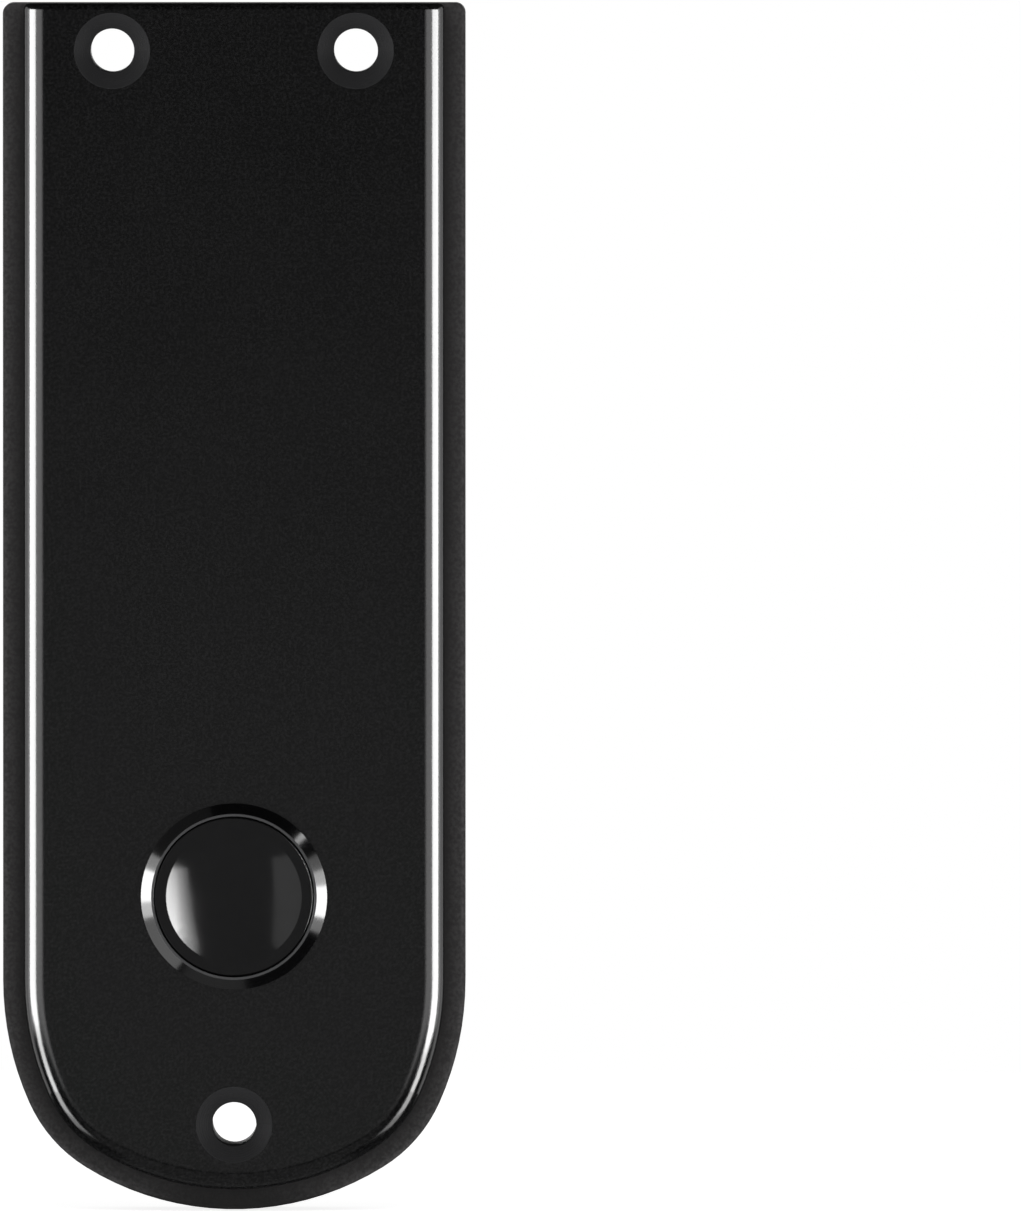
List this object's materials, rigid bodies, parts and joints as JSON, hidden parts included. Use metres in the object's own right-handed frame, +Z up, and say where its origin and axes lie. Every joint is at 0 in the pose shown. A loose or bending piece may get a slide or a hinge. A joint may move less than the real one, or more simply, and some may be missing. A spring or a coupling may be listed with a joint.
{
  "type": "doorbell",
  "caption": "Slim upright doorbell push with a flat top, rounded foot, dished round button, raised satin cover and a screwed rear cover over a round battery lid.",
  "frame": {"origin": "middle of the back, on the wall plane, half-way between the flat top and the rounded foot", "axes": "+Z up the wall, towards the flat end; +Y into the wall, so the button faces -Y; +X to the right seen from the front"},
  "size_m": [0.046, 0.0151, 0.12],
  "materials": {
    "cover_finish": "black satin lacquer over metal, softly polished at the rounded edge",
    "case_plastic": "fine-grained dark grey moulded plastic",
    "panel_plastic": "spark-eroded black moulded plastic",
    "lid_plastic": "smooth black moulded plastic with a turned look",
    "plug_rubber": "soft black plug",
    "gasket_rubber": "black silicone rubber",
    "bezel_chrome": "black chrome, mirror polished",
    "button_gloss": "gloss black, moulded smooth",
    "nut_metal": "plain turned",
    "screw_steel": "zinc plated",
    "clip_steel": "stamped spring steel",
    "spring_steel": "drawn or stamped stainless spring steel",
    "switch_metal": "stamped tinned steel",
    "switch_plastic": "black glass-filled nylon",
    "plunger_plastic": "natural nylon",
    "tinned_contact": "tin plated",
    "tinned_shield": "tin plated pressed can",
    "cell_steel": "nickel plated steel",
    "board_laminate": "green solder mask",
    "chip_epoxy": "black moulded epoxy",
    "crystal_can": "nickel plated can",
    "capacitor_can": "drawn aluminium can",
    "antenna_wire": "enamelled copper wire"
  },
  "bodies": {
    "case": {"front_cover": "cover_finish", "base_housing": "case_plastic", "cover_gasket": "gasket_rubber", "wall_gasket": "gasket_rubber", "rear_cover": "panel_plastic", "rear_cover_gasket": "gasket_rubber", "rear_cover_screws": "screw_steel", "screw_plugs": "plug_rubber", "button_bezel": "bezel_chrome", "bezel_gasket": "gasket_rubber", "bezel_nut": "nut_metal", "return_spring": "spring_steel", "switch_base": "switch_plastic", "switch_frame": "switch_metal", "switch_dome": "spring_steel", "switch_contacts": "tinned_contact", "coin_cell": "cell_steel", "battery_holder": "switch_plastic", "negative_contact": "spring_steel", "positive_contact": "spring_steel", "circuit_board": "board_laminate", "radio_board": "board_laminate", "radio_shield": "tinned_shield", "controller_chip": "chip_epoxy", "chip_pins": "tinned_contact", "crystal": "crystal_can", "capacitors": "capacitor_can", "resistors": "chip_epoxy", "antenna_coil": "antenna_wire"},
    "button": {"button_cap": "button_gloss", "button_seal_ring": "gasket_rubber", "button_clip": "clip_steel"},
    "plunger": {"switch_plunger": "plunger_plastic"},
    "lid": {"battery_lid": "lid_plastic", "lid_seal_ring": "gasket_rubber"}
  },
  "joints": [
    {"name": "button_press", "type": "slide", "parent": "case", "child": "button", "axis": [0, 1, 0], "range_m": [0, 0.0005], "stiffness_N_per_m": 2000, "springref_m": -0.0002, "deforming": ["return_spring", "switch_dome"]},
    {"name": "switch_plunger_press", "type": "slide", "parent": "case", "child": "plunger", "axis": [0, 1, 0], "range_m": [0, 0.0005]},
    {"name": "battery_lid_turn", "type": "hinge", "parent": "case", "child": "lid", "pos_m": [0, -0.001, -0.0262], "axis": [0, 1, 0], "range_deg": [0, 30]}
  ],
  "couplings": [
    {"joint": "switch_plunger_press", "follows": "button_press", "ratio": 1}
  ]
}
